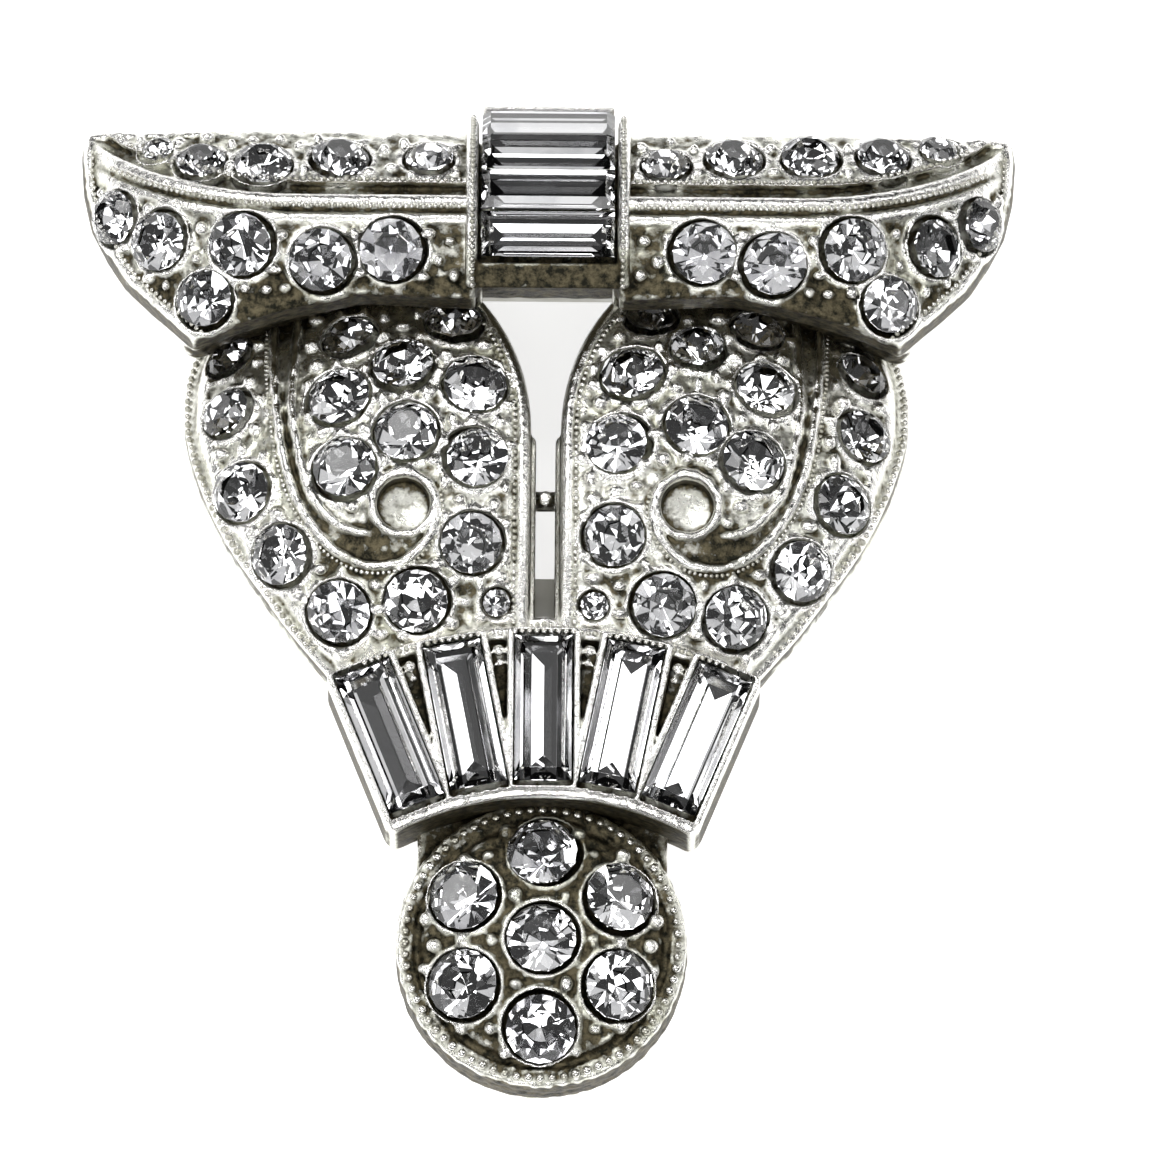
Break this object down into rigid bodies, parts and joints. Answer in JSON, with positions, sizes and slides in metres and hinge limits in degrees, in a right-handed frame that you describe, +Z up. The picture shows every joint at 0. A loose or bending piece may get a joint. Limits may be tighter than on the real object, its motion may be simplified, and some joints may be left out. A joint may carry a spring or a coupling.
{
  "type": "dress clip",
  "caption": "Triangular dress clip of cast metal set with clear rhinestones: rolled wings, scrolled lobes, a baguette fan and a domed disc, with a toothed clip behind.",
  "frame": {"origin": "under the middle of the clip's box, on the surface it lies on", "axes": "+Z up out of the decorated front, +Y towards the wings and the barrel, +X to the right seen from the front; it lies on the clip's tongue"},
  "size_m": [0.0444, 0.0476, 0.0127],
  "materials": {
    "cast_metal": "worn silver-tone plating over cast pot metal, grey-green tarnish in the recesses",
    "clip_metal": "dull silver-tone sheet metal",
    "rhinestone": "clear cut glass with a foil back"
  },
  "bodies": {
    "root": {"setting": "cast_metal", "clip": "clip_metal", "fan_baguette_1": "rhinestone", "fan_baguette_2": "rhinestone", "fan_baguette_3": "rhinestone", "fan_baguette_4": "rhinestone", "fan_baguette_5": "rhinestone", "barrel_baguette_1": "rhinestone", "barrel_baguette_2": "rhinestone", "barrel_baguette_3": "rhinestone", "barrel_baguette_4": "rhinestone", "disc_stone_1": "rhinestone", "disc_stone_2": "rhinestone", "disc_stone_3": "rhinestone", "disc_stone_4": "rhinestone", "disc_stone_5": "rhinestone", "disc_stone_6": "rhinestone", "disc_stone_7": "rhinestone", "left_wing_front_stone_1": "rhinestone", "left_wing_front_stone_2": "rhinestone", "left_wing_front_stone_3": "rhinestone", "left_wing_front_stone_4": "rhinestone", "left_wing_front_stone_5": "rhinestone", "left_wing_front_stone_6": "rhinestone", "right_wing_front_stone_1": "rhinestone", "right_wing_front_stone_2": "rhinestone", "right_wing_front_stone_3": "rhinestone", "right_wing_front_stone_4": "rhinestone", "right_wing_front_stone_5": "rhinestone", "right_wing_front_stone_6": "rhinestone", "left_wing_top_stone_1": "rhinestone", "left_wing_top_stone_2": "rhinestone", "left_wing_top_stone_3": "rhinestone", "left_wing_top_stone_4": "rhinestone", "left_wing_top_stone_5": "rhinestone", "right_wing_top_stone_1": "rhinestone", "right_wing_top_stone_2": "rhinestone", "right_wing_top_stone_3": "rhinestone", "right_wing_top_stone_4": "rhinestone", "right_wing_top_stone_5": "rhinestone", "left_lobe_stones": "rhinestone", "right_lobe_stones": "rhinestone"}
  },
  "joints": []
}
